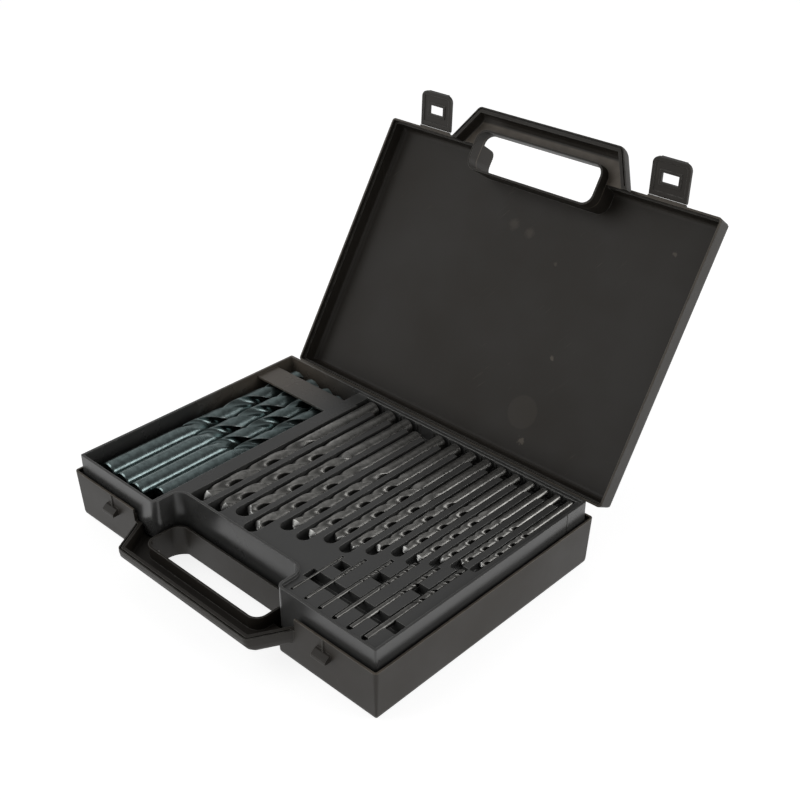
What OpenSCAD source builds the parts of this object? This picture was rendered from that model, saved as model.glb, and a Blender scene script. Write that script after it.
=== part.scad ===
// Drill bit case with a moulded tray, a hinged lid, two latch tongues and 24 twist drills.
// X runs along the front, -Y is the handle side, +Z is up. The origin is the middle of the base.
// The case is drawn open, as it stands on a bench. Millimetres.

/* [Case] */
// Width of the case over its rim
case_w = 243.4; // [240:0.2:250]
// Depth of the case over its rim, without the handle
case_d = 169; // [168:0.5:172]
// Height of the base rim
base_h = 32; // [31:0.5:34]
// Height of the closed lid
lid_h = 14.5; // [14:0.5:18]
// Thickness of the moulded walls
wall = 1.9; // [1.6:0.1:2.2]
// Radius of the upright corners
corner_r = 2.2; // [2:0.2:5]
// Radius of the edges round the bottom and the top of the case
edge_r = 4; // [3:0.5:5]
// Draft angle of the side walls
draft = 2.5; // [1:0.1:3]
// Thickness of the rims, which are stepped thinner than the walls
rim_t = 1.2; // [1:0.1:1.5]

/* [Handle] */
// Width of the handle where it leaves the case
root_w = 128; // [120:1:136]
// Width of the handle along its grip
grip_w = 105; // [96:1:110]
// Reach of the handle in front of the case
reach = 20.5; // [18:0.5:24]
// Thickness of each handle half
half_h = 9.5; // [8:0.5:10]
// Radius that rolls the grip's long edge under
grip_r = 7; // [3:0.5:7]
// Drop of the handle's parting plane below the base rim
parting_drop = 8; // [7:0.5:9]
// Width of the finger hole
hole_w = 91; // [84:1:94]
// Front edge of the finger hole, measured from the front of the case
hole_front = 7; // [6:0.5:9]
// Back edge of the finger hole, measured from the front of the case
hole_back = 16; // [14:0.5:17]
// Height of the finger room stepped into the underside round the hole
room_h = 6; // [4:0.5:7]

/* [Tray] */
// Height of the tray's rim
tray_h = 42.5; // [42:0.1:43]
// Height of the tray's deck
deck_h = 40.5; // [40:0.1:41]
// Thickness of the tray's walls
skin = 1.5; // [1.2:0.1:1.8]
// Gap between the outside of the case and the tray on each side
tray_inset = 3.3; // [3.2:0.1:3.6]
// Width of the tray's notch behind the handle
notch_w = 98.6; // [97:0.2:102]
// Depth of the tray's notch
notch_d = 17.8; // [17:0.2:20]
// Inner width of the compartment for the large drills
bay_w = 62; // [60:0.5:64]

/* [Drills] */
// Height of the tops of the drills in the long row
row_top = 41; // [40.6:0.1:41.4]
// Rib between the drills of the long row
row_gap = 4.3; // [4:0.1:4.4]
// Middle of the largest drill of the long row, along the front
row_x = -39.5; // [-41:0.5:-38]
// Shank ends of the long row, behind the middle
row_y = 77.5; // [76:0.5:78]
// Clearance round each drill in its slot
slot_play = 0.3; // [0.25:0.05:0.4]
// Angle of the point of each drill
point_angle = 118; // [90:1:140]
// Helix angle of the flutes
helix = 30; // [24:1:32]

/* [Latches] */
// Distance of each latch from the middle
latch_x = 86; // [80:1:92]
// Width of a latch tongue
tongue_w = 24.5; // [22:0.5:26]
// Length of a latch tongue
tongue_l = 21.5; // [20:0.5:23]
// Thickness of a latch tongue
tongue_t = 1.8; // [1.6:0.1:2]
// Angle that the open tongues lean from the lid's rim plane
tongue_lean = 30; // [10:1:40]

/* [Hinge] */
// Angle between the closed lid and the open lid
lid_open = 122.5; // [100:0.5:130]
// Distance of each hinge from the middle
hinge_x = 76; // [60:1:90]
// Radius of the hinge pins
pin_r = 1.2; // [1:0.1:1.3]

/* [Hidden] */
SMALL = [1.0, 1.5, 2.0, 2.5, 3.0, 3.5];
ROW = [for (i = [0:13]) 10.5 - i * 0.5];
LARGE = [13.0, 12.5, 12.0, 11.5];
$fn = 48;
eps = 0.01;
plastic = "#33363a";
tray_black = "#3a3c3e";
steam_oxide = "#4a4a48";
bright_steel = "#9aa6a8";

closed_h = base_h + lid_h;
parting = base_h - parting_drop;
front = -case_d / 2;
hole_y0 = front - hole_front;
hole_y1 = front + hole_back;
hole_y = (hole_y0 + hole_y1) / 2;
hole_d = hole_y1 - hole_y0;
hole_r = 6;
room_w = 6.5;
handle_r = 3.5;
handle_wall = 3.4;

// Axis of the lid's hinge, behind the back wall
hinge_r = 3;
hinge_y = case_d / 2 + hinge_r + 0.5;
hinge_z = base_h;
knuckle_w = 9;
knuckle_gap = 0.3;
// Gap between the handle of the closed lid and the ends of the lowered rim
step_gap = 1.5;

// Axis of the latches' film hinge, in front of the closed lid
film_y = front - 2.1;
film_z = base_h + 1.2;
film_r = tongue_t / 2;
flange_t = 1.8;
window_w = 11;
window_l = 5.7;
window_from = 7.6;
catch_w = 10;

tray_w = case_w - 2 * tray_inset;
tray_d = case_d - 2 * tray_inset;
tray_z = 17.2;
tray_r = 1;
notch_r = 6.5;
flare_r = 4;
bay_x0 = -tray_w / 2 + skin;
bay_x1 = bay_x0 + bay_w;
bay_floor = 25.5;
well_floor = 20.5;
bar_y0 = 50.5;
bar_y1 = 67;
bar_t = 1.5;
large_y = -73;
large_gap = 0.9;
small_y = -75.5;
small_top = 40.8;
small_x = 55.5;
small_pitch = 10.2;
pocket_past_tip = 7;
channel_z = 33.5;

// Overall length and flute length of a jobber drill, by its diameter
function jobber(d) =
    d <= 1 ? [34, 12] : d <= 1.5 ? [40, 18] : d <= 2 ? [49, 24] : d <= 2.5 ? [57, 30]
    : d <= 3 ? [61, 33] : d <= 3.5 ? [70, 39] : d <= 4 ? [75, 43] : d <= 4.5 ? [80, 47]
    : d <= 5 ? [86, 52] : d <= 6 ? [93, 57] : d <= 6.5 ? [101, 63] : d <= 7.5 ? [109, 69]
    : d <= 8.5 ? [117, 75] : d <= 9.5 ? [125, 81] : d <= 10.5 ? [133, 87]
    : d <= 11.5 ? [142, 94] : [151, 101];

// Middle of drill i of the long row: each slot is one rib away from the last
function row_pos(i) = i == 0 ? row_x : row_pos(i - 1) + (ROW[i - 1] + ROW[i]) / 2 + row_gap;
// The fourth drill lies a little forward in its slot
function row_end(i) = i == 3 ? row_y - 6 : row_y;
// Middle of large drill i, counted from the left wall
function large_pos(i) =
    i == 0 ? bay_x0 + 5.6 + LARGE[0] / 2
    : large_pos(i - 1) + (LARGE[i - 1] + LARGE[i]) / 2 + large_gap;
function large_axis(d) = bay_floor + 0.2 + d / 2;
function small_pos(i) = small_x + i * small_pitch;

// ---- helper shapes

module rounded_rect(w, d, r) {
    square([w - 2 * r, d], center = true);
    square([w, d - 2 * r], center = true);
    for (sx = [-1, 1], sy = [-1, 1])
        translate([sx * (w / 2 - r), sy * (d / 2 - r)]) circle(r);
}

module slice(w, d, r) {
    linear_extrude(eps)
        for (sx = [-1, 1], sy = [-1, 1])
            translate([sx * (w / 2 - r), sy * (d / 2 - r)]) circle(r, $fn = 24);
}

// A drafted block whose bottom edge is rolled: slices on a quarter circle, and one at the rim
module tub(w, d, h, r, edge) {
    hull() {
        for (a = [0:22.5:90])
            let (inset = h * tan(draft) + edge * (1 - sin(a)))
                translate([0, 0, edge * (1 - cos(a))])
                    slice(w - 2 * inset, d - 2 * inset, max(r - inset, 1));
        translate([0, 0, h - eps]) slice(w, d, r);
    }
}

// The hollow of a tub with walls of the full thickness, and the step that thins its rim
module tub_hollow(h) {
    translate([0, 0, wall])
        tub(case_w - 2 * wall, case_d - 2 * wall, h, corner_r - rim_t, edge_r - 1);
    translate([0, 0, h - 3]) linear_extrude(4)
        rounded_rect(case_w - 2 * rim_t, case_d - 2 * rim_t, corner_r - rim_t);
}

// Plan of the handle: a trapezoid with two rounded corners that starts back behind the front
// wall's face. It is inset by grip along the front and by side on the slanted flanks
module handle_plan(grip, side, back) {
    run = (root_w - grip_w) / 2;
    flank = atan2(reach, run);
    y1 = front - reach + grip;
    x0 = root_w / 2 + back * run / reach - side / sin(flank);
    x1 = grip_w / 2 + grip * run / reach - side / sin(flank);
    r = max(handle_r - side, 0.8);
    corner = [for (i = [0:4]) let (a = flank * i / 4 - 90)
                  [x1 - r * tan(flank / 2) + r * cos(a), y1 + r + r * sin(a)]];
    polygon(concat([[-x0, front + back]],
                   [for (i = [4:-1:0]) [-corner[i][0], corner[i][1]]],
                   corner,
                   [[x0, front + back]]));
}

// One handle half from its parting plane down to its outer face, h away: the grip's edge is
// rolled on a quarter circle and the flanks are only softened
module handle_block(inset, back, h, edge) {
    hull() {
        for (a = [0:22.5:90])
            let (step = edge * (1 - sin(a)))
                translate([0, 0, edge * (1 - cos(a))]) linear_extrude(eps)
                    handle_plan(inset + step, inset + step * 0.3, back);
        translate([0, 0, h - eps]) linear_extrude(eps) handle_plan(inset, inset, back);
    }
}

module hole_plan(grow) {
    translate([0, hole_y])
        rounded_rect(hole_w + 2 * grow, hole_d + 2 * grow, hole_r + grow);
}

module at_hinges() {
    for (s = [-1, 1]) translate([s * hinge_x, 0, 0]) children();
}

module at_latches() {
    for (s = [-1, 1]) translate([s * latch_x, 0, 0]) children();
}

// A barrel round the hinge axis with its web to the wall, over a width w from x
module knuckle(x, w, up) {
    translate([x, hinge_y, hinge_z]) rotate([0, 90, 0]) cylinder(r = hinge_r, h = w);
    translate([x, 0, hinge_z]) rotate([90, 0, 90]) linear_extrude(w)
        polygon([[hinge_y + hinge_r * 0.7, up * 0.4], [hinge_y - hinge_r - 1.4, up * 0.4],
                 [hinge_y - hinge_r - 1.4, up * 9], [hinge_y - hinge_r + 0.3, up * 9],
                 [hinge_y + hinge_r * 0.72, up * 2]]);
}

// Turns the closed lid's shapes to where the open lid stands
module opened() {
    translate([0, hinge_y, hinge_z]) rotate([-lid_open, 0, 0])
        translate([0, -hinge_y, -hinge_z]) children();
}

// ---- base

module base_outer() {
    tub(case_w, case_d, base_h, corner_r, edge_r);
}

// The wall round the finger hole: the full height inside the case, and low in the handle
module hole_wall() {
    intersection() {
        linear_extrude(parting) hole_plan(rim_t);
        union() {
            base_outer();
            translate([0, 0, parting - half_h]) linear_extrude(half_h) handle_plan(3, 3, 4);
        }
    }
}

// Finger room: the underside is stepped up round the hole
module finger_room(grow) {
    translate([0, 0, -1]) linear_extrude(room_h + 1 + grow) hole_plan(room_w + grow);
}

module base_body() {
    difference() {
        union() {
            difference() {
                union() {
                    base_outer();
                    translate([0, 0, parting - half_h]) handle_block(0, wall, half_h, grip_r);
                }
                tub_hollow(base_h);
                translate([0, 0, parting - half_h + wall])
                    handle_block(handle_wall, 4, half_h, grip_r - 2);
                translate([-root_w / 2 - step_gap, front - 30, parting])
                    cube([root_w + 2 * step_gap, 50, 20]);
            }
            hole_wall();
            intersection() {
                finger_room(wall);
                base_outer();
            }
        }
        finger_room(0);
        translate([0, 0, -1]) linear_extrude(60) hole_plan(0);
        lip_groove(parting - 1.4, 1.5);
    }
}

// The fine groove that runs round the rim of a handle half
module lip_groove(z, h) {
    translate([0, 0, z]) linear_extrude(h) difference() {
        handle_plan(0.7, 0.7, 0);
        handle_plan(1.5, 1.5, 1);
    }
}

module catch() {
    rotate([90, 0, 90]) translate([0, 0, -catch_w / 2]) linear_extrude(catch_w)
        polygon([[front + 1.5, 20.5], [front - 3.7, 20.5], [front - 3.7, 22.2],
                 [front - 3.2, 22.9], [front - 0.9, 24.5], [front + 1.5, 24.9]]);
    translate([-0.6, front - 0.4, 24]) cube([1.2, 1.4, base_h - 24.5]);
}

module base_shell() {
    color(plastic) difference() {
        union() {
            base_body();
            at_latches() catch();
            at_hinges() {
                knuckle(-1.5 * knuckle_w - knuckle_gap, knuckle_w, -1);
                knuckle(knuckle_w / 2 + knuckle_gap, knuckle_w, -1);
            }
        }
        at_hinges() translate([-20, hinge_y, hinge_z]) rotate([0, 90, 0])
            cylinder(r = pin_r + 0.02, h = 40);
    }
}

module hinge_pin(side) {
    color(bright_steel) translate([side * hinge_x, hinge_y, hinge_z]) rotate([0, 90, 0])
        cylinder(r = pin_r, h = 3 * knuckle_w - 1, center = true);
}

// ---- lid

module lid_outer() {
    translate([0, 0, closed_h]) mirror([0, 0, 1]) tub(case_w, case_d, lid_h, corner_r, edge_r);
}

module lid_body() {
    difference() {
        union() {
            difference() {
                union() {
                    lid_outer();
                    translate([0, 0, parting + half_h]) mirror([0, 0, 1])
                        handle_block(0, wall, half_h, grip_r);
                }
                translate([0, 0, closed_h]) mirror([0, 0, 1]) tub_hollow(lid_h);
                translate([0, 0, parting + half_h - wall]) mirror([0, 0, 1])
                    handle_block(handle_wall, 4, half_h, grip_r - 2);
            }
            intersection() {
                translate([0, 0, parting]) linear_extrude(closed_h - parting) hole_plan(rim_t);
                union() {
                    lid_outer();
                    translate([0, 0, parting]) linear_extrude(half_h) handle_plan(3, 3, 4);
                    translate([-root_w / 2, front + 1, parting]) cube([root_w, 30, 10]);
                }
            }
        }
        translate([0, 0, parting - 1]) linear_extrude(60) hole_plan(0);
        lip_groove(parting - 0.1, 1.5);
    }
}

module latch_flange() {
    translate([-tongue_w / 2, film_y + film_r + 0.25, film_z - flange_t / 2])
        cube([tongue_w, front + 1 - film_y - film_r - 0.25, flange_t]);
}

module lid_shell() {
    color(plastic) opened() difference() {
        union() {
            translate([0, 0, 0.3]) lid_body();
            at_latches() latch_flange();
            at_hinges() knuckle(-knuckle_w / 2, knuckle_w, 1);
        }
        at_hinges() translate([-20, hinge_y, hinge_z]) rotate([0, 90, 0])
            cylinder(r = pin_r + 0.06, h = 40);
    }
}

// ---- latch tongues: drawn hanging from the film hinge axis, then leant outwards

module tongue_plan(inset) {
    r = 4 - inset;
    w = tongue_w - 2 * inset;
    l = tongue_l - 2 * inset;
    translate([0, inset]) {
        translate([-w / 2, 0]) square([w, l - r]);
        translate([-w / 2 + r, 0]) square([w - 2 * r, l]);
        for (s = [-1, 1]) translate([s * (w / 2 - r), l - r]) circle(r);
    }
}

module tongue() {
    // The bead of the film hinge, the plate with its window, and the raised border
    translate([-tongue_w / 2, 0, 0]) rotate([0, 90, 0]) cylinder(r = film_r, h = tongue_w);
    rotate([-90, 0, 0]) translate([0, 0, -film_r]) difference() {
        union() {
            linear_extrude(tongue_t - 0.5) tongue_plan(0);
            linear_extrude(tongue_t) difference() {
                tongue_plan(0);
                tongue_plan(2.2);
            }
            translate([-window_w / 2 - 1.5, window_from - 1.5, 0])
                cube([window_w + 3, window_l + 3, tongue_t]);
            // The grip that a thumb pulls
            translate([-tongue_w / 2 + 4, tongue_l - 2.2, -1.2]) cube([tongue_w - 8, 2.2, 2]);
        }
        translate([-window_w / 2, window_from, -1]) cube([window_w, window_l, 5]);
    }
}

module latch(side) {
    color(plastic) opened() translate([side * latch_x, film_y, film_z])
        rotate([tongue_lean - 90, 0, 0]) tongue();
}

// ---- tray

// The notch behind the handle, with its two front corners flared
module tray_notch(grow) {
    r = flare_r - grow;
    translate([0, -tray_d / 2]) {
        rounded_rect(notch_w + 2 * grow, 2 * (notch_d + grow), notch_r + grow);
        for (s = [-1, 1])
            difference() {
                translate([s * (notch_w / 2 + grow + r / 2 - 0.5), grow + r / 2 - 0.5])
                    square(r + 1, center = true);
                translate([s * (notch_w / 2 + grow + r), grow + r]) circle(r);
            }
    }
}

module tray_plan(inset) {
    difference() {
        rounded_rect(tray_w - 2 * inset, tray_d - 2 * inset, max(tray_r - inset, 0.8));
        tray_notch(inset);
    }
}

// Round-bottomed bar along the case, w wide, from y0 to y1, with its bottom at z
module trough(x, w, y0, y1, z, top) {
    translate([x, y0, z + w / 2]) rotate([-90, 0, 0]) cylinder(d = w, h = y1 - y0);
    translate([x - w / 2, y0, z + w / 2]) cube([w, y1 - y0, top - z - w / 2]);
    translate([x, y0, z + w * 0.25]) cylinder(d = w, h = top - z - w * 0.25);
}

module row_slots(grow, top) {
    for (i = [0:13])
        let (d = ROW[i], w = d + 2 * slot_play + 2 * grow)
            trough(row_pos(i), w, row_end(i) - jobber(d)[0] - pocket_past_tip + d / 2,
                   tray_d / 2 - skin - 0.4 + grow, row_top - d - slot_play - grow, top);
}

module small_slots(grow, top) {
    for (i = [0:5])
        let (d = SMALL[i], w = d + 2 * slot_play + 2 * grow)
            trough(small_pos(i), w, small_y - 0.5 - grow, small_y + jobber(d)[0] + 1 + grow,
                   small_top - d - slot_play - grow, top);
}

// Finger channels across the slots, and the pockets at the tips of the small drills
module channels(grow, top) {
    translate([51.5 - grow, -65 - grow, channel_z - grow])
        cube([64 + 2 * grow, 7.5 + 2 * grow, top - channel_z + grow]);
    translate([row_x - 7 - grow, row_y - 9 - grow, channel_z - grow])
        cube([158 + 2 * grow, 10.5 + grow, top - channel_z + grow]);
    for (k = [0:2])
        translate([small_pos(2 * k) + 1.5 - grow, -50 + k * 7 - grow, channel_z + 1 - grow])
            cube([small_pitch * 0.7 + 2 * grow, 6.5 + 2 * grow, top - channel_z - 1 + grow]);
}

module bay(grow, top) {
    translate([bay_x0 - grow, -tray_d / 2 + skin - grow, bay_floor - grow])
        cube([bay_w + 2 * grow, tray_d - 2 * skin + 2 * grow, top - bay_floor + grow]);
    translate([bay_x0 - grow, 46 - grow, well_floor - grow])
        cube([bay_w + 2 * grow, tray_d / 2 - skin - 46 + 2 * grow, top - well_floor + grow]);
}

module tray_posts() {
    for (p = [[-90, -60], [-90, 20], [-20, -40], [60, -60], [100, -40], [100, 40], [20, 10]])
        translate([p[0], p[1], wall + 0.05]) cylinder(r = 3, h = deck_h - 1 - wall);
}

module drill_tray() {
    color(tray_black) difference() {
        union() {
            difference() {
                translate([0, 0, tray_z]) linear_extrude(tray_h - tray_z) tray_plan(0);
                translate([0, 0, tray_z - 1]) linear_extrude(60) tray_plan(skin);
            }
            difference() {
                intersection() {
                    linear_extrude(deck_h) tray_plan(0.3);
                    union() {
                        translate([0, 0, deck_h - skin]) linear_extrude(skin) tray_plan(0);
                        row_slots(skin * 0.8, deck_h);
                        small_slots(skin * 0.8, deck_h);
                        channels(skin * 0.8, deck_h);
                        bay(skin, deck_h);
                        tray_posts();
                    }
                }
                row_slots(0, 60);
                small_slots(0, 60);
                channels(0, 60);
                bay(0, 60);
            }
            translate([bay_x0 - 0.5, bar_y0, deck_h - bar_t])
                cube([bay_w + 1, bar_y1 - bar_y0, bar_t]);
        }
        // The moulding's witness line on the right-hand band
        translate([tray_w / 2 - 0.4, 64, tray_z - 1]) cube([1, 0.5, 30]);
    }
}

// ---- twist drills: drawn along +Y from the shank's end at the origin to the point

// Corners of half a section: four on the land, and two at the bottom of the flute, whose
// distance from the axis is the web
CORNERS = [[-48, 1], [-16, 1], [16, 1], [48, 1], [71, 0], [109, 0]];
web = 0.4;
function steps_per_turn(d) = d < 4 ? 8 : 10;

// One ring of the fluted part at distance y, with the lands at radius s and the flutes cut to
// the share k of their full depth
function flute_ring(d, y, s, k) =
    let (turn = 360 * y * tan(helix) / (PI * d), floor_r = min(s, 1 - k * (1 - web)))
        [for (half = [0, 180], c = CORNERS)
            let (a = half + c[0] + turn, r = (c[1] > 0 ? s : floor_r) * d / 2)
                [r * cos(a), y, -r * sin(a)]];

// Fluted part from y0 to the apex of the point at y1
module fluted(d, y0, y1) {
    tip = d / 2 / tan(point_angle / 2);
    lead = PI * d / tan(helix);
    n = ceil((y1 - y0 - tip) / lead * steps_per_turn(d));
    step = (y1 - tip - y0) / n;
    body = [for (i = [0:n])
                flute_ring(d, y0 + i * step, i == 0 ? 0.94 : 0.995, min(1, i / 3))];
    rings = concat(body, [flute_ring(d, y1 - tip * web, web, 1)]);
    points = [for (ring = rings) each ring];
    m = 2 * len(CORNERS);
    last = len(rings) - 1;
    side = [for (i = [0:last - 1], j = [0:m - 1]) let (k = (j + 1) % m)
                each [[i * m + j, (i + 1) * m + j, i * m + k],
                      [i * m + k, (i + 1) * m + j, (i + 1) * m + k]]];
    point = [for (j = [0:m - 1]) [last * m + (j + 1) % m, last * m + j, (last + 1) * m]];
    polyhedron(concat(points, [[0, y1, 0]]), concat(side, point, [[for (j = [0:m - 1]) j]]));
}

module drill(d, finish) {
    total = jobber(d)[0];
    flutes = jobber(d)[1];
    color(finish) {
        rotate([-90, 0, 0]) cylinder(d = d, h = total - flutes);
        fluted(d, total - flutes - 0.6, total);
    }
}

// A drill of the long row: shank at the back, point to the front
module row_drill(i) {
    translate([row_pos(i), row_end(i), row_top - ROW[i] / 2]) rotate([0, 0, 180])
        drill(ROW[i], steam_oxide);
}

// A small drill: shank at the front
module small_drill(i) {
    translate([small_pos(i), small_y, small_top - SMALL[i] / 2]) drill(SMALL[i], steam_oxide);
}

// A large drill: shank at the front, point under the crossbar
module large_drill(i) {
    translate([large_pos(i), large_y + (LARGE[i] < 12 ? 7 : 0), large_axis(LARGE[i])])
        drill(LARGE[i], bright_steel);
}

base_shell();
drill_tray();
lid_shell();
latch(-1);  // latch_left
latch(1);  // latch_right
hinge_pin(-1);  // hinge_pin_left
hinge_pin(1);  // hinge_pin_right
small_drill(0);  // drill_1_0
small_drill(1);  // drill_1_5
small_drill(2);  // drill_2_0
small_drill(3);  // drill_2_5
small_drill(4);  // drill_3_0
small_drill(5);  // drill_3_5
row_drill(0);  // drill_10_5
row_drill(1);  // drill_10_0
row_drill(2);  // drill_9_5
row_drill(3);  // drill_9_0
row_drill(4);  // drill_8_5
row_drill(5);  // drill_8_0
row_drill(6);  // drill_7_5
row_drill(7);  // drill_7_0
row_drill(8);  // drill_6_5
row_drill(9);  // drill_6_0
row_drill(10);  // drill_5_5
row_drill(11);  // drill_5_0
row_drill(12);  // drill_4_5
row_drill(13);  // drill_4_0
large_drill(0);  // drill_13_0
large_drill(1);  // drill_12_5
large_drill(2);  // drill_12_0
large_drill(3);  // drill_11_5
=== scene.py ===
"""Looks of an open drill bit case: moulded black shells, a slotted tray and 24 twist drills."""
import math

import bpy
import numpy as np
from bpy.props import FloatProperty, FloatVectorProperty, IntProperty, PointerProperty
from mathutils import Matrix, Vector


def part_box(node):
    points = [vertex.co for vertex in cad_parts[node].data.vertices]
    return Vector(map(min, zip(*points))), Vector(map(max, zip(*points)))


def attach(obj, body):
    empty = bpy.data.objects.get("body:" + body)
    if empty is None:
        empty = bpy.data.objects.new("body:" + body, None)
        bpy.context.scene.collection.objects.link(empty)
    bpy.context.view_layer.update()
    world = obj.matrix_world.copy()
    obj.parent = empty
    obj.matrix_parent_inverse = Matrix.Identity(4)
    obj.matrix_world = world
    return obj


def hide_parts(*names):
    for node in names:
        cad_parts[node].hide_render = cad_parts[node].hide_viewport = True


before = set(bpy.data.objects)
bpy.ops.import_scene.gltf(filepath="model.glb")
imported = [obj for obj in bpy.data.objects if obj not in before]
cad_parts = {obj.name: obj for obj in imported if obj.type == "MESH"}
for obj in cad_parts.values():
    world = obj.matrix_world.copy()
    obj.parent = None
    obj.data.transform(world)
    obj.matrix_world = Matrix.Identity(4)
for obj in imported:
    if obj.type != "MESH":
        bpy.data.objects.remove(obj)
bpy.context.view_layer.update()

bl_info = {
    "name": "Drill Bit Case",
    "version": (1, 0, 0),
    "blender": (4, 5, 0),
    "location": "View3D > Sidebar > Drill Case",
    "description": "Dresses an open moulded drill case and its twist drills",
    "category": "Object",
}

MM = 0.001

# Faces that meet at more than this angle keep a sharp edge between them
SHARP_ANGLE = math.radians(32)

# Corners of half a flute section, as angles round the drill: the heel where the land starts,
# the end of the land, the start of the margin above it, and the cutting lip
HEEL_ANGLE = math.radians(3)
LAND_END_ANGLE = math.radians(80)
MARGIN_ANGLE = LAND_END_ANGLE + 0.03
LIP_ANGLE = math.radians(90)

# Per drill radius: the land's radius, the radii past which a point counts as land and as
# margin, and the depth at which a flute is fully darkened by painted shade
LAND_RADIUS = 0.965
LAND_FROM = 0.95
MARGIN_FROM = 0.985
FLUTE_DEPTH = 0.6

# Per diameter: the chamfer at the shank end, and the length over which the flutes run out.
# Per radius: how far the ground point falls away behind each lip
CHAMFER = 0.06
RUN_OUT = 2
RELIEF = 0.1

# Points round half a section, rings along the shank and rings along the point, and the share
# of a section's points and of the flutes' rings that a small drill has
HALF_SECTION = 36
SHANK_RINGS = 8
POINT_RINGS = 16
SMALL_SHARE = 0.6

# Roll about its axis in degrees of each large drill, and of a row drill for each mm across
LARGE_ROLL = {11.5: 141, 12.0: 174, 12.5: 161, 13.0: 168}
ROW_ROLL = 94

SMALL_DRILLS = np.arange(1.0, 3.6, 0.5)
ROW_DRILLS = np.arange(4.0, 10.6, 0.5)
LARGE_DRILLS = np.arange(11.5, 13.1, 0.5)

# Overall length and flute length of a jobber drill, for diameters up to each limit, in mm
JOBBER_LENGTHS = {
    1.0: (34, 12), 1.5: (40, 18), 2.0: (49, 24), 2.5: (57, 30), 3.0: (61, 33), 3.5: (70, 39),
    4.0: (75, 43), 4.5: (80, 47), 5.0: (86, 52), 6.0: (93, 57), 6.5: (101, 63), 7.5: (109, 69),
    8.5: (117, 75), 9.5: (125, 81), 10.5: (133, 87), 11.5: (142, 94), 13.0: (151, 101),
}

# Round pale patches on the plastic, most of them marks: centre in mm, radius in mm, whole share,
# raggedness and paleness
LID_SPOTS = (
    ((45, 116.1, 52.7), 10.8, 0.9, 0.05, 0.13), ((-10.7, 170.8, 138.5), 6.0, 0.5, 0.5, 0.3),
    ((2.2, 169.7, 136.8), 5.4, 0.5, 0.5, 0.32), ((27.2, 163.2, 126.6), 3.4, 0.7, 1.0, 0.4),
    ((49.8, 135.5, 83), 4.0, 0.8, 1.1, 0.7), ((51.3, 107.5, 39.2), 5.4, 0.8, 1.1, 0.8),
    ((97.2, 178.1, 149.9), 3.0, 0.8, 1.0, 0.6),
)
# On the tray: a broad soft patch over the left of the crossbar, which is a painted reflection,
# and one small mark
TRAY_MARK_AND_REFLECTION = (((-122, 62, 40.5), 68, 0.3, 0, 0.9), ((-94, 54.4, 40.5), 4, 0.8, 1.1, 0.9))

# A point on each shell's rim in mm, and the direction that its open side faces; a painted
# highlight runs along each rim
BASE_RIM = (0, 0, 32), (0, 0, 1)
LID_RIM = (0, 88, 32), (0, -0.8434, 0.5373)

# Plastic along an edge, paled by rubbing and as a painted highlight, and the dust that lies on it
RUBBED_AND_HIGHLIGHT_COLOUR = 0.19, 0.185, 0.17
DUST_COLOUR = 0.2, 0.19, 0.17

# How many times paler than the case's colour its marks, scratches and painted reflection are, and
# the painted highlight on its rims
MARK_AND_REFLECTION_PALENESS = 5.5
RIM_HIGHLIGHT_PALENESS = 6.0

# Depth of the mould's grain, and width of the tray's pits per width of the shells' pits
SHELL_GRAIN_DEPTH = 0.03 * MM
TRAY_GRAIN_DEPTH = 0.004 * MM
TRAY_GRAIN_WIDTH = 1.6

# Upward directions between which the studio's wall turns into its ceiling, and sideways ones
# between which the ceiling grows dimmer to the right
WALL_TO_CEILING = 0.06, 0.4
LEFT_TO_RIGHT = -0.3, 0.4


# ---- settings

class CaseSettings(bpy.types.PropertyGroup):
    """Colours and surface of the moulded plastic."""

    case_colour: FloatVectorProperty(
        name="Case colour", description="Plastic of the shells and latches",
        subtype="COLOR", size=3, min=0, max=1, default=(0.021, 0.0178, 0.0142))
    tray_colour: FloatVectorProperty(
        name="Tray colour", description="Plastic of the drill tray",
        subtype="COLOR", size=3, min=0, max=1, default=(0.042, 0.042, 0.041))
    case_roughness: FloatProperty(
        name="Case roughness", description="Roughness of the spark-finished shells",
        subtype="FACTOR", min=0, max=1, default=0.5)
    tray_roughness: FloatProperty(
        name="Tray roughness", description="Roughness of the smoother tray",
        subtype="FACTOR", min=0, max=1, default=0.28)
    edge_radius: FloatProperty(
        name="Edge radius", description="Softness of every moulded edge",
        unit="LENGTH", min=0, max=0.002, default=0.0005)
    grain_size: FloatProperty(
        name="Grain size", description="Size of one pit of the mould's spark finish",
        unit="LENGTH", min=0.0001, max=0.002, default=0.0004)


class DrillSettings(bpy.types.PropertyGroup):
    """Shape and finish of the twist drills."""

    helix_angle: FloatProperty(
        name="Helix angle", description="Angle of the flutes to the drill's axis",
        subtype="ANGLE", min=0.3, max=0.8, default=math.radians(31))
    point_angle: FloatProperty(
        name="Point angle", description="Full angle of the ground point",
        subtype="ANGLE", min=1.5, max=2.6, default=math.radians(118))
    web: FloatProperty(
        name="Web", description="Thickness of the core between the flutes, per diameter",
        subtype="FACTOR", min=0.08, max=0.4, default=0.18)
    rings_per_turn: IntProperty(
        name="Rings per turn", description="Sections along one turn of the flutes",
        min=12, max=120, default=64)
    oxide_colour: FloatVectorProperty(
        name="Oxide colour", description="Steam oxide of the drills in the rows",
        subtype="COLOR", size=3, min=0, max=1, default=(0.3, 0.295, 0.28))
    blue_colour: FloatVectorProperty(
        name="Blued colour", description="Blue-grey steel of the large drills",
        subtype="COLOR", size=3, min=0, max=1, default=(0.21, 0.265, 0.265))
    ground_colour: FloatVectorProperty(
        name="Ground colour", description="Bright steel where the point is ground",
        subtype="COLOR", size=3, min=0, max=1, default=(0.62, 0.62, 0.6))


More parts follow.
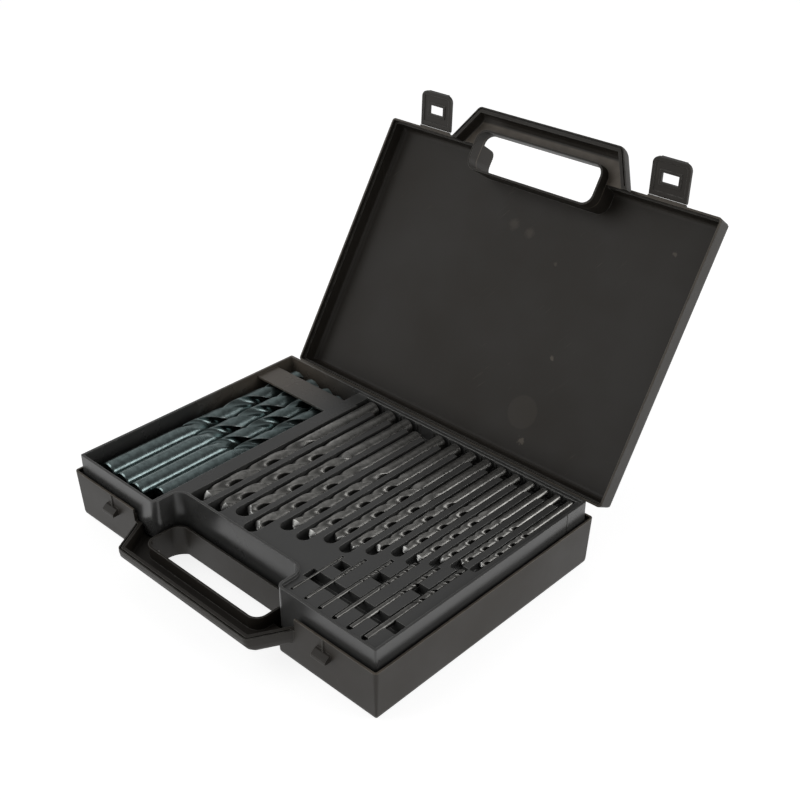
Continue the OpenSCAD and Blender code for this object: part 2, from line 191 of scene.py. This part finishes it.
class StageSettings(bpy.types.PropertyGroup):
    """Camera, floor and light."""

    camera_place: FloatVectorProperty(
        name="Camera place", description="Where the camera stands",
        subtype="XYZ", unit="LENGTH", size=3, default=(0.42242, -0.38390, 0.43477))
    camera_target: FloatVectorProperty(
        name="Camera target", description="Point in the middle of the picture",
        subtype="XYZ", unit="LENGTH", size=3, default=(-0.04240, 0.10384, 0.03000))
    lens: FloatProperty(
        name="Lens", description="Focal length on a 36 mm sensor",
        subtype="DISTANCE_CAMERA", min=20, max=200, default=55.89)
    floor_colour: FloatVectorProperty(
        name="Floor colour", description="Pale floor under the case",
        subtype="COLOR", size=3, min=0, max=1, default=(0.42, 0.42, 0.42))
    floor_glow: FloatProperty(
        name="Floor glow", description="White that the camera and reflections see on the floor",
        min=0, max=1, default=0.84)
    horizon: FloatProperty(
        name="Horizon", description="Brightness of the studio's walls", min=0, max=1, default=1)
    ceiling: FloatVectorProperty(
        name="Ceiling", description="Brightness of the ceiling on the left and on the right",
        size=2, min=0, max=1, default=(0.4, 0.14))
    side_power: FloatProperty(
        name="Side lamp", description="Large soft lamp on the right",
        subtype="POWER", unit="POWER", min=0, max=200, default=5)
    front_power: FloatProperty(
        name="Front lamp", description="Large soft lamp at the front left",
        subtype="POWER", unit="POWER", min=0, max=200, default=5)


# ---- meshes

def make_piece(name, points, faces, material, body, node):
    """A smooth closed mesh at the origin, which rides a body and stands for one CAD node."""
    mesh = bpy.data.meshes.new(name)
    mesh.from_pydata(points.tolist(), [], faces)
    mesh.validate()
    mesh.shade_smooth()
    mesh.set_sharp_from_angle(angle=SHARP_ANGLE)
    mesh.materials.append(material)
    piece = bpy.data.objects.new(name, mesh)
    bpy.context.scene.collection.objects.link(piece)
    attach(piece, body)
    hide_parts(node)
    return piece


def add_point_values(piece, **values):
    """Stores one number for each point of the mesh under each name."""
    for name, value in values.items():
        layer = piece.data.attributes.new(name, "FLOAT", "POINT")
        layer.data.foreach_set("value", np.ascontiguousarray(value, np.float32).ravel())


def tube_faces(rings, sides):
    """Quads between rings of points, with a fan to one more point past each end."""
    ring, side = np.meshgrid(np.arange(rings - 1), np.arange(sides), indexing="ij")
    after = (side + 1) % sides
    quads = np.stack([ring * sides + side, ring * sides + after,
                      (ring + 1) * sides + after, (ring + 1) * sides + side], -1)
    first, last = rings * sides, rings * sides + 1
    around = np.arange(sides)
    start = np.stack([(around + 1) % sides, around, np.full(sides, first)], -1)
    top = (rings - 1) * sides
    end = np.stack([top + around, top + (around + 1) % sides, np.full(sides, last)], -1)
    return quads.reshape(-1, 4).tolist() + start.tolist() + end.tolist()


def flute_section(count, web):
    """Half of a two-flute section of unit radius, as complex numbers in turn order.

    From the heel corner a land arc runs a little under full radius, steps up to a narrow
    margin at full radius, and then a cubic curve sweeps in past the web and out to the next
    heel, bent towards one point at the web and one inside the heel. The other half is the same
    points turned by half a turn.
    """
    land = LAND_RADIUS * np.exp(1j * np.linspace(HEEL_ANGLE, LAND_END_ANGLE, count // 4))
    margin = np.exp(1j * np.linspace(MARGIN_ANGLE, LIP_ANGLE, count // 8))
    t = np.linspace(0, 1, count - len(land) - len(margin) + 1)[1:]
    lip = np.exp(1j * LIP_ANGLE)
    heel = LAND_RADIUS * np.exp(1j * (math.pi + HEEL_ANGLE))
    bend_at_web = 0.4 * web * np.exp(1j * (LIP_ANGLE + 0.2))
    bend_at_heel = 0.7 * np.exp(1j * math.radians(156))
    curve = ((1 - t) ** 3 * lip + 3 * (1 - t) ** 2 * t * bend_at_web
             + 3 * (1 - t) * t ** 2 * bend_at_heel + t ** 3 * heel)
    return np.concatenate([land, margin, curve[:-1]])


def twist_drill(diameter, total, fluted, start_turn, settings):
    """Points, faces and surface values of a twist drill, shank end at 0 and point on +Y.

    Each ring is the flute section, blended from a circle over the run-out at the shank, and
    turned by one full turn for every lead past the shank. Near the tip a ring's radius is held
    under a cone that falls back behind each lip, which grinds the point.
    """
    radius = diameter / 2
    lead = math.pi * diameter / math.tan(settings.helix_angle)
    slope = math.tan(settings.point_angle / 2)
    share = SMALL_SHARE if diameter < 4 * MM else 1
    section = flute_section(int(HALF_SECTION * share), settings.web * 2)
    section = np.concatenate([section, -section])
    angle, reach = np.angle(section), np.abs(section)
    chamfer = CHAMFER * diameter
    shank_end = total - fluted
    relief = RELIEF * radius
    point_start = total - radius / slope - relief
    last_ring, tip = total - 1.15 * relief, total - 0.4 * relief
    turns = fluted / lead
    flute_rings = int(settings.rings_per_turn * share * turns) + 8
    y = np.concatenate([
        [0, chamfer],
        np.linspace(chamfer, shank_end, SHANK_RINGS)[1:],
        np.linspace(shank_end, point_start, flute_rings)[1:],
        np.linspace(point_start, last_ring, POINT_RINGS)[1:],
    ])
    run_out = np.clip((y - shank_end) / (RUN_OUT * diameter), 0, 1)
    depth = (run_out ** 2 * (3 - 2 * run_out))[:, None]
    size = np.where(y > 0, radius, radius - 0.7 * chamfer)[:, None]
    shape = size * ((1 - depth) + depth * reach)
    turn_in_half = np.mod(angle, math.pi)
    behind = np.where(turn_in_half <= LIP_ANGLE, (LIP_ANGLE - turn_in_half) / LIP_ANGLE,
                      (turn_in_half - LIP_ANGLE) / (math.pi - LIP_ANGLE))
    limit = (total - relief * behind[None, :] - y[:, None]) * slope
    ground = (shape > limit).astype(float)
    shape = np.minimum(shape, limit)
    twist = 2 * math.pi * np.maximum(y - shank_end, 0) / lead
    turn = angle[None, :] + start_turn + twist[:, None]
    points = np.stack([shape * np.sin(turn), np.repeat(y[:, None], len(section), 1),
                       shape * np.cos(turn)], -1).reshape(-1, 3)
    points = np.concatenate([points, [[0, 0, 0], [0, tip, 0]]])
    # How deep a point lies in a flute, which darkens the steel there as painted shade
    flute = np.clip((1 - reach) / FLUTE_DEPTH, 0, 1) * depth * (1 - ground)
    values = {
        "flute": np.append(flute, [0, 0]),
        "ground": np.append(ground, [0, 1]),
        "along": points[:, 1] / MM,
        "edge": np.append(depth * (reach > MARGIN_FROM), [0, 0]),
        "land": np.append(depth * (reach > LAND_FROM), [0, 0]),
    }
    return points, tube_faces(len(y), len(section)), values


def drill_lengths(diameter):
    """Overall and flute length in metres of the standard drill of a diameter in mm."""
    limit = min(size for size in JOBBER_LENGTHS if size >= diameter - 0.01)
    return [length * MM for length in JOBBER_LENGTHS[limit]]


def place_drill(diameter, material, point_forward):
    """One drill on its CAD node: shank end and axis come from the node's box."""
    node = f"drill_{diameter:.1f}".replace(".", "_")
    low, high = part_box(node)
    total, fluted = drill_lengths(diameter)
    start_turn = math.radians(LARGE_ROLL.get(float(diameter), ROW_ROLL * diameter))
    points, faces, values = twist_drill(diameter * MM, total, fluted, start_turn,
                                        bpy.context.scene.drill_settings)
    if point_forward:
        points[:, :2] *= -1
    shank = high.y if point_forward else low.y
    points += [(low.x + high.x) / 2, shank, (low.z + high.z) / 2]
    piece = make_piece("twist_" + node, points, faces, material, node, node)
    add_point_values(piece, **values)


# ---- shader building

class Shader:
    """Adds nodes to one tree. A value that is a socket is linked, any other is set."""

    def __init__(self, tree):
        self.tree = tree

    def add(self, kind, values=(), **properties):
        """A new node, with its properties and its inputs by name."""
        node = self.tree.nodes.new("ShaderNode" + kind)
        for name, value in properties.items():
            setattr(node, name, value)
        for name, value in dict(values).items():
            self.feed(node.inputs[name], value)
        return node

    def feed(self, socket, value):
        """Links or sets one input."""
        if isinstance(value, bpy.types.NodeSocket):
            self.tree.links.new(value, socket)
        else:
            socket.default_value = value

    def feed_all(self, sockets, values):
        """Links or sets several inputs in order."""
        for socket, value in zip(sockets, values):
            self.feed(socket, value)

    def maths(self, operation, *values):
        """One step of arithmetic on numbers."""
        node = self.add("Math", operation=operation)
        self.feed_all(node.inputs, values)
        return node.outputs[0]

    def vectors(self, operation, *values):
        """One step of arithmetic on vectors. Its outputs are Vector and Value."""
        node = self.add("VectorMath", operation=operation)
        self.feed_all(node.inputs, values)
        return node.outputs

    def mix(self, factor, first, second):
        """Blend of two colours, which are inputs 6 and 7 of the node."""
        node = self.add("Mix", data_type="RGBA")
        self.feed_all((node.inputs[0], node.inputs[6], node.inputs[7]), (factor, first, second))
        return node.outputs[2]

    def remap(self, value, low, high, to_low=0.0, to_high=1.0):
        """The value, moved from the range low to high to the second range and held in it."""
        node = self.add("MapRange", {"Value": value, "From Min": low, "From Max": high,
                                     "To Min": to_low, "To Max": to_high})
        return node.outputs[0]

    def noise(self, vector, scale, detail=2.0, roughness=0.5):
        """Cloudy noise from 0 to 1."""
        node = self.add("TexNoise", {"Vector": vector, "Scale": scale, "Detail": detail,
                                     "Roughness": roughness})
        return node.outputs["Fac"]

    def place(self):
        """Where a point is on the piece."""
        return self.add("TexCoord").outputs["Object"]

    def attribute(self, name):
        """A number that is stored at each point of the mesh."""
        return self.add("Attribute", attribute_name=name).outputs["Fac"]


def new_group(name, inputs, outputs):
    """An empty shader node group. inputs and outputs map each socket's name to its kind."""
    tree = bpy.data.node_groups.new(name, "ShaderNodeTree")
    for side, sockets in (("INPUT", inputs), ("OUTPUT", outputs)):
        for label, kind in sockets.items():
            tree.interface.new_socket(name=label, in_out=side, socket_type="NodeSocket" + kind)
    shader = Shader(tree)
    entry = tree.nodes.new("NodeGroupInput")
    leave = tree.nodes.new("NodeGroupOutput")
    return tree, shader, entry.outputs, leave.inputs


def use_group(shader, name, values):
    """Places a node group in a material with its own values."""
    return shader.add("Group", values, node_tree=group(name)).outputs


def grain_group():
    """Spark finish of a mould: fine pits, and slow swells where the wall sank."""
    tree, shader, given, out = new_group(
        "Mould grain", {"Size": "Float", "Swell": "Float"}, {"Height": "Float"})
    place = shader.place()
    pits = shader.noise(place, shader.maths("DIVIDE", 1.0, given["Size"]),
                        detail=3.0, roughness=0.6)
    swell = shader.noise(place, 22.0)
    shader.feed(out["Height"], shader.maths(
        "ADD", pits, shader.maths("MULTIPLY", swell, given["Swell"])))
    return tree


def edge_group():
    """Wear and painted highlight along edges: where the softened normal leaves the true one,
    broken up by noise.
    """
    tree, shader, given, out = new_group(
        "Edge wear and highlight", {"Radius": "Float"}, {"Mask": "Float", "Normal": "Vector"})
    soft = shader.add("Bevel", {"Radius": given["Radius"]}, samples=6).outputs[0]
    true = shader.add("NewGeometry").outputs["Normal"]
    edge = shader.remap(shader.vectors("DOT_PRODUCT", soft, true)["Value"], 0.995, 0.86)
    patchy = shader.remap(shader.noise(shader.place(), 260.0, detail=4.0), 0.35, 0.65, 0.35, 1.0)
    shader.feed(out["Mask"], shader.maths("MULTIPLY", edge, patchy))
    shader.feed(out["Normal"], soft)
    return tree


def scuff_group():
    """Handling marks: long faint scratches, and cloudy rubbed patches."""
    tree, shader, given, out = new_group(
        "Scuffs", {"Turn": "Float"}, {"Scratches": "Float", "Clouds": "Float"})
    place = shader.place()
    turned = shader.add("VectorRotate", {"Vector": place, "Angle": given["Turn"]},
                        rotation_type="Z_AXIS").outputs[0]
    drawn_out = shader.add("Mapping", {"Vector": turned, "Scale": (900.0, 28.0, 60.0)})
    lines = shader.remap(shader.noise(drawn_out.outputs[0], 1.0, detail=3.0, roughness=0.6),
                         0.66, 0.74)
    gaps = shader.remap(shader.noise(place, 34.0, detail=3.0), 0.5, 0.62)
    shader.feed(out["Scratches"], shader.maths("MULTIPLY", lines, gaps))
    clouds = shader.noise(place, 14.0, detail=5.0, roughness=0.62)
    shader.feed(out["Clouds"], shader.remap(clouds, 0.38, 0.68))
    return tree


def dust_group():
    """Fine dust that settles on faces that look up."""
    tree, shader, given, out = new_group("Dust", {"Amount": "Float"}, {"Mask": "Float"})
    normal = shader.add("NewGeometry").outputs["Normal"]
    up = shader.add("SeparateXYZ", {"Vector": normal}).outputs["Z"]
    specks = shader.remap(shader.noise(shader.place(), 900.0, detail=4.0, roughness=0.7),
                          0.62, 0.8)
    lying = shader.maths("MULTIPLY", specks, shader.remap(up, 0.3, 1.0))
    shader.feed(out["Mask"], shader.maths("MULTIPLY", lying, given["Amount"]))
    return tree


def spot_group():
    """A round patch for marks and for a painted reflection, gone past its radius. A low Core
    makes it soft, and Ragged breaks it up.
    """
    tree, shader, given, out = new_group(
        "Spot", {"Centre": "Vector", "Radius": "Float", "Core": "Float", "Ragged": "Float"},
        {"Mask": "Float"})
    place = shader.place()
    away = shader.vectors("DISTANCE", place, given["Centre"])["Value"]
    uneven = shader.maths("MULTIPLY", shader.noise(place, 520.0, detail=3.0), given["Ragged"])
    reach = shader.maths("ADD", uneven, shader.maths("DIVIDE", away, given["Radius"]))
    shader.feed(out["Mask"], shader.remap(reach, 1.0, given["Core"]))
    return tree


def rim_group():
    """The thin band at a plane through a point, where the two shells meet, which is a painted
    highlight.
    """
    tree, shader, given, out = new_group(
        "Rim highlight", {"Point": "Vector", "Up": "Vector", "Depth": "Float"}, {"Mask": "Float"})
    place = shader.place()
    offset = shader.vectors("SUBTRACT", place, given["Point"])["Vector"]
    height = shader.maths("DIVIDE", shader.vectors("DOT_PRODUCT", offset, given["Up"])["Value"],
                          given["Depth"])
    broken = shader.remap(shader.noise(place, 120.0, detail=3.0), 0.3, 0.6, 0.55, 1.0)
    rim_highlight = shader.maths("MULTIPLY", shader.remap(height, -1.0, -0.4),
                         shader.remap(height, 0.8, 0.4))
    shader.feed(out["Mask"], shader.maths("MULTIPLY", broken, rim_highlight))
    return tree


def group(name):
    """The shader node group of that name, built the first time that it is asked for."""
    makers = {"Mould grain": grain_group, "Edge wear and highlight": edge_group, "Scuffs": scuff_group,
              "Dust": dust_group, "Spot": spot_group, "Rim highlight": rim_group}
    return bpy.data.node_groups.get(name) or makers[name]()


def new_material(name):
    """An empty material and the shader that fills it."""
    material = bpy.data.materials.new(name)
    material.use_nodes = True
    material.node_tree.nodes.clear()
    return material, Shader(material.node_tree)


def finish_material(shader, surface):
    """Ends a material with its surface."""
    shader.add("OutputMaterial", {"Surface": surface})


def rgba(colour, factor=1.0):
    """The colour times a factor, with full alpha."""
    return (*[min(channel * factor, 1.0) for channel in colour], 1.0)


# ---- materials

def moulded_plastic(name, colour, roughness, grain, grain_depth, specular, scuffs, turn,
                    spots=(), rim=None):
    """Black polypropylene: grained, paler along its edges from wear and as a painted highlight,
    and where it has been rubbed.

    Each spot is a centre in mm, a radius in mm, the share of it that is whole, a raggedness,
    and how far it goes to pale; most are marks, and the tray's broad soft one is a painted
    reflection. The rim is a point in mm and a direction: plastic is pale in a band at that
    plane, a painted highlight. scuffs is how strong the scratches are, and turn which way they
    run.
    """
    material, shader = new_material(name)
    case = bpy.context.scene.case_settings
    edge = use_group(shader, "Edge wear and highlight", {"Radius": case.edge_radius})
    marks = use_group(shader, "Scuffs", {"Turn": turn})
    dust = use_group(shader, "Dust", {"Amount": 0.175})
    relief = use_group(shader, "Mould grain", {"Size": grain, "Swell": 0.6})
    pale = rgba(case.case_colour, MARK_AND_REFLECTION_PALENESS)
    base = shader.mix(shader.maths("MULTIPLY", marks["Clouds"], 0.5),
                      rgba(colour), rgba(colour, 1.5))
    # Round patches: marks, and on the tray a broad painted reflection over the crossbar
    for centre, radius, core, ragged, strength in spots:
        spot = use_group(shader, "Spot", {
            "Centre": [value * MM for value in centre], "Radius": radius * MM,
            "Core": core, "Ragged": ragged})
        base = shader.mix(shader.maths("MULTIPLY", spot["Mask"], strength), base, pale)
    # Painted highlight: a pale band along the rim
    if rim:
        rim_highlight = use_group(shader, "Rim highlight", {
            "Point": [value * MM for value in rim[0]], "Up": rim[1], "Depth": 0.5 * MM})
        base = shader.mix(rim_highlight["Mask"], base, rgba(case.case_colour, RIM_HIGHLIGHT_PALENESS))
    # Edges paled by wear and by a painted highlight
    worn_and_highlighted = shader.mix(shader.maths("MULTIPLY", edge["Mask"], 0.8), base, rgba(RUBBED_AND_HIGHLIGHT_COLOUR))
    scratched = shader.mix(shader.maths("MULTIPLY", marks["Scratches"], scuffs), worn_and_highlighted, pale)
    dusted = shader.mix(dust["Mask"], scratched, rgba(DUST_COLOUR))
    rough = shader.remap(marks["Clouds"], 0.0, 1.0, roughness - 0.05, roughness + 0.07)
    bump = shader.add("Bump", {"Height": relief["Height"], "Normal": edge["Normal"],
                               "Strength": 0.5, "Distance": grain_depth})
    plastic = shader.add("BsdfPrincipled", {
        "Base Color": dusted, "Roughness": rough, "Normal": bump.outputs[0],
        "IOR": 1.5, "Specular IOR Level": specular})
    finish_material(shader, plastic.outputs[0])
    return material


def drill_steel(name, colour, shade, flute_shade, roughness):
    """Drill finish: coated shank with faint grinding rings, flutes darkened with their depth as
    painted shade, bright ground lips.

    shade and flute_shade are how bright the body and the painted shade deep in the flutes are,
    as parts of the colour.
    """
    material, shader = new_material(name)
    drills = bpy.context.scene.drill_settings
    place = shader.place()
    patches = shader.remap(shader.noise(place, 260.0, detail=5.0, roughness=0.7), 0.36, 0.66)
    dark, light = rgba(colour, 0.68 * shade), rgba(colour, 1.25 * shade)
    body = shader.mix(patches, dark, light)
    # Painted shade: the flutes darken with their depth
    fluted = shader.mix(shader.remap(shader.attribute("flute"), 0.05, 0.8), body,
                        rgba(colour, flute_shade))
    rubbed = shader.maths("MULTIPLY", shader.attribute("edge"), shader.remap(
        shader.noise(place, 600.0, detail=3.0), 0.42, 0.62, 0.0, 0.4))
    edged = shader.mix(rubbed, fluted, rgba(drills.ground_colour, 0.8))
    tipped = shader.mix(shader.attribute("ground"), edged, rgba(drills.ground_colour))
    rings = shader.add("TexNoise", {"W": shader.attribute("along"), "Scale": 5.0, "Detail": 3.0},
                       noise_dimensions="1D").outputs["Fac"]
    rough = shader.maths("ADD", shader.maths("MULTIPLY", shader.attribute("land"), 0.14),
                         shader.remap(rings, 0.3, 0.7, roughness - 0.03, roughness + 0.04))
    bump = shader.add("Bump", {"Height": rings, "Strength": 0.05, "Distance": 0.01 * MM})
    steel = shader.add("BsdfPrincipled", {
        "Base Color": tipped, "Metallic": 1.0, "Roughness": rough, "Normal": bump.outputs[0]})
    finish_material(shader, steel.outputs[0])
    return material


def drawn_wire():
    """Bright drawn wire of the hinge pins, with draw lines along it."""
    material, shader = new_material("drawn_wire")
    drawn_out = shader.add("Mapping", {"Vector": shader.place(), "Scale": (40.0, 4000.0, 4000.0)})
    streaks = shader.noise(drawn_out.outputs[0], 1.0)
    dull, bright = rgba((0.5, 0.5, 0.49)), rgba((0.62, 0.62, 0.6))
    steel = shader.add("BsdfPrincipled", {
        "Base Color": shader.mix(streaks, dull, bright), "Metallic": 1.0,
        "Roughness": shader.remap(streaks, 0.3, 0.7, 0.25, 0.4)})
    finish_material(shader, steel.outputs[0])
    return material


def floor_material(colour, glow):
    """Matt pale floor that the camera and reflections see brighter, so that it is white."""
    material, shader = new_material("pale_floor")
    ray = shader.add("LightPath").outputs
    reflected = shader.maths("MAXIMUM", ray["Is Glossy Ray"], ray["Is Transmission Ray"])
    seen = shader.maths("MAXIMUM", ray["Is Camera Ray"], reflected)
    surface = shader.add("BsdfPrincipled", {
        "Base Color": rgba(colour), "Roughness": 0.9, "Specular IOR Level": 0.0,
        "Emission Color": (1.0, 1.0, 1.0, 1.0),
        "Emission Strength": shader.maths("MULTIPLY", seen, glow)})
    finish_material(shader, surface.outputs[0])
    return material


# ---- operators

def dress(nodes, material):
    """Gives CAD nodes a finish through their material slots."""
    for name in nodes:
        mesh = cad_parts[name].data
        mesh.materials.clear()
        mesh.materials.append(material)


class DRILLCASE_OT_shells(bpy.types.Operator):
    """Finishes the base, the lid and the two latch tongues"""

    bl_idname = "drillcase.shells"
    bl_label = "Case shells"

    def execute(self, context):
        case = context.scene.case_settings
        finish = case.case_colour, case.case_roughness, case.grain_size, SHELL_GRAIN_DEPTH
        dress(("latch_left", "latch_right"), moulded_plastic(
            "latch_plastic", *finish, specular=0.33, scuffs=0.3, turn=0.5))
        dress(("base_shell",), moulded_plastic(
            "base_plastic", *finish, specular=0.33, scuffs=0.3, turn=0.5, rim=BASE_RIM))
        dress(("lid_shell",), moulded_plastic(
            "lid_plastic", *finish, specular=0.26, scuffs=0.3, turn=0.9,
            spots=LID_SPOTS, rim=LID_RIM))
        return {"FINISHED"}


class DRILLCASE_OT_tray(bpy.types.Operator):
    """Finishes the drill tray"""

    bl_idname = "drillcase.tray"
    bl_label = "Drill tray"

    def execute(self, context):
        case = context.scene.case_settings
        dress(("drill_tray",), moulded_plastic(
            "tray_plastic", case.tray_colour, case.tray_roughness,
            case.grain_size * TRAY_GRAIN_WIDTH, TRAY_GRAIN_DEPTH,
            specular=0.62, scuffs=0.2, turn=1.2, spots=TRAY_MARK_AND_REFLECTION))
        return {"FINISHED"}


class DRILLCASE_OT_pins(bpy.types.Operator):
    """Finishes the two hinge pins"""

    bl_idname = "drillcase.pins"
    bl_label = "Hinge pins"

    def execute(self, context):
        dress(("hinge_pin_left", "hinge_pin_right"), drawn_wire())
        return {"FINISHED"}


class DRILLCASE_OT_rows(bpy.types.Operator):
    """Makes the drills of the long row and the small row"""

    bl_idname = "drillcase.rows"
    bl_label = "Drills in the rows"

    def execute(self, context):
        drills = context.scene.drill_settings
        oxide = drill_steel("black_oxide_steel", drills.oxide_colour,
                            shade=1.0, flute_shade=0.8, roughness=0.3)
        for diameter in ROW_DRILLS:
            place_drill(diameter, oxide, point_forward=True)
        fine = drill_steel("black_oxide_fine", drills.oxide_colour,
                           shade=0.6, flute_shade=0.7, roughness=0.36)
        for diameter in SMALL_DRILLS:
            place_drill(diameter, fine, point_forward=False)
        return {"FINISHED"}


class DRILLCASE_OT_large(bpy.types.Operator):
    """Makes the large drills in the open bay"""

    bl_idname = "drillcase.large"
    bl_label = "Large drills"

    def execute(self, context):
        drills = context.scene.drill_settings
        blued = drill_steel("blued_steel", drills.blue_colour,
                            shade=1.0, flute_shade=0.8, roughness=0.23)
        for diameter in LARGE_DRILLS:
            place_drill(diameter, blued, point_forward=False)
        return {"FINISHED"}


class DRILLCASE_OT_stage(bpy.types.Operator):
    """Sets up the camera, the pale floor and the soft studio light"""

    bl_idname = "drillcase.stage"
    bl_label = "Stage"

    def execute(self, context):
        stage = context.scene.stage_settings
        add_camera(context.scene, stage)
        add_floor(stage)
        add_sky(context.scene, stage)
        add_lamp("side", stage.side_power, place=(0.85, 0.56, 0.45),
                 target=(-0.05, 0, 0.03), size=(1.3, 0.5))
        add_lamp("front", stage.front_power, place=(-0.7, -0.9, 0.9),
                 target=(0, 0.05, 0.05), size=(1.0, 1.0))
        context.scene.view_settings.view_transform = "Standard"
        return {"FINISHED"}


def aim(thing, place, target):
    """Puts a camera or lamp at a place and turns it to its target."""
    thing.location = place
    thing.rotation_euler = (Vector(target) - Vector(place)).to_track_quat("-Z", "Y").to_euler()


def add_camera(scene, stage):
    """The camera at the viewing angle of the open case."""
    camera = bpy.data.objects.new("camera", bpy.data.cameras.new("camera"))
    scene.collection.objects.link(camera)
    camera.data.sensor_width = 36
    camera.data.lens = stage.lens
    camera.data.clip_start = 0.01
    aim(camera, stage.camera_place, stage.camera_target)
    scene.camera = camera


def add_floor(stage):
    """A square floor with the case in its middle."""
    reach = 8.0
    corners = [(-reach, -reach, 0), (reach, -reach, 0), (reach, reach, 0), (-reach, reach, 0)]
    mesh = bpy.data.meshes.new("floor")
    mesh.from_pydata(corners, [], [(0, 1, 2, 3)])
    mesh.materials.append(floor_material(stage.floor_colour, stage.floor_glow))
    floor = bpy.data.objects.new("floor", mesh)
    bpy.context.scene.collection.objects.link(floor)


def add_sky(scene, stage):
    """A white studio wall all round, and a ceiling that is dimmer on the lamp's side."""
    world = bpy.data.worlds.new("soft_sky")
    world.use_nodes = True
    world.node_tree.nodes.clear()
    shader = Shader(world.node_tree)
    direction = shader.add("TexCoord").outputs["Generated"]
    split = shader.add("SeparateXYZ", {"Vector": direction}).outputs
    ceiling = shader.remap(split["X"], *LEFT_TO_RIGHT, *stage.ceiling)
    strength = shader.remap(split["Z"], *WALL_TO_CEILING, stage.horizon, ceiling)
    sky = shader.add("Background", {"Color": (1, 1, 1, 1), "Strength": strength})
    shader.add("OutputWorld", {"Surface": sky.outputs[0]})
    scene.world = world


def add_lamp(name, power, place, target, size):
    """A soft lamp with a flat face, aimed at its target."""
    light = bpy.data.lights.new(name, "AREA")
    light.shape = "RECTANGLE"
    light.size, light.size_y = size
    light.energy = power
    lamp = bpy.data.objects.new(name, light)
    bpy.context.scene.collection.objects.link(lamp)
    aim(lamp, place, target)


class DRILLCASE_PT_panel(bpy.types.Panel):
    """Lists the steps that dress the case"""

    bl_idname = "DRILLCASE_PT_panel"
    bl_label = "Drill Case"
    bl_space_type = "VIEW_3D"
    bl_region_type = "UI"
    bl_category = "Drill Case"

    def draw(self, context):
        for operator in OPERATORS:
            self.layout.operator(operator.bl_idname)
        for settings in (context.scene.case_settings, context.scene.drill_settings,
                         context.scene.stage_settings):
            box = self.layout.box()
            for name in settings.__annotations__:
                box.prop(settings, name)


SETTINGS = {"case_settings": CaseSettings, "drill_settings": DrillSettings,
            "stage_settings": StageSettings}
OPERATORS = (DRILLCASE_OT_shells, DRILLCASE_OT_tray, DRILLCASE_OT_pins, DRILLCASE_OT_rows,
             DRILLCASE_OT_large, DRILLCASE_OT_stage)


def register():
    """Adds the settings, the operators and the panel"""
    for kind in (*SETTINGS.values(), *OPERATORS, DRILLCASE_PT_panel):
        bpy.utils.register_class(kind)
    for name, kind in SETTINGS.items():
        setattr(bpy.types.Scene, name, PointerProperty(type=kind))


def unregister():
    """Takes them away again"""
    for name in SETTINGS:
        delattr(bpy.types.Scene, name)
    for kind in reversed((*SETTINGS.values(), *OPERATORS, DRILLCASE_PT_panel)):
        bpy.utils.unregister_class(kind)


def main():
    """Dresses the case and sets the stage"""
    register()
    bpy.ops.drillcase.shells()
    bpy.ops.drillcase.tray()
    bpy.ops.drillcase.pins()
    bpy.ops.drillcase.rows()
    bpy.ops.drillcase.large()
    bpy.ops.drillcase.stage()


if __name__ == "__main__":
    main()
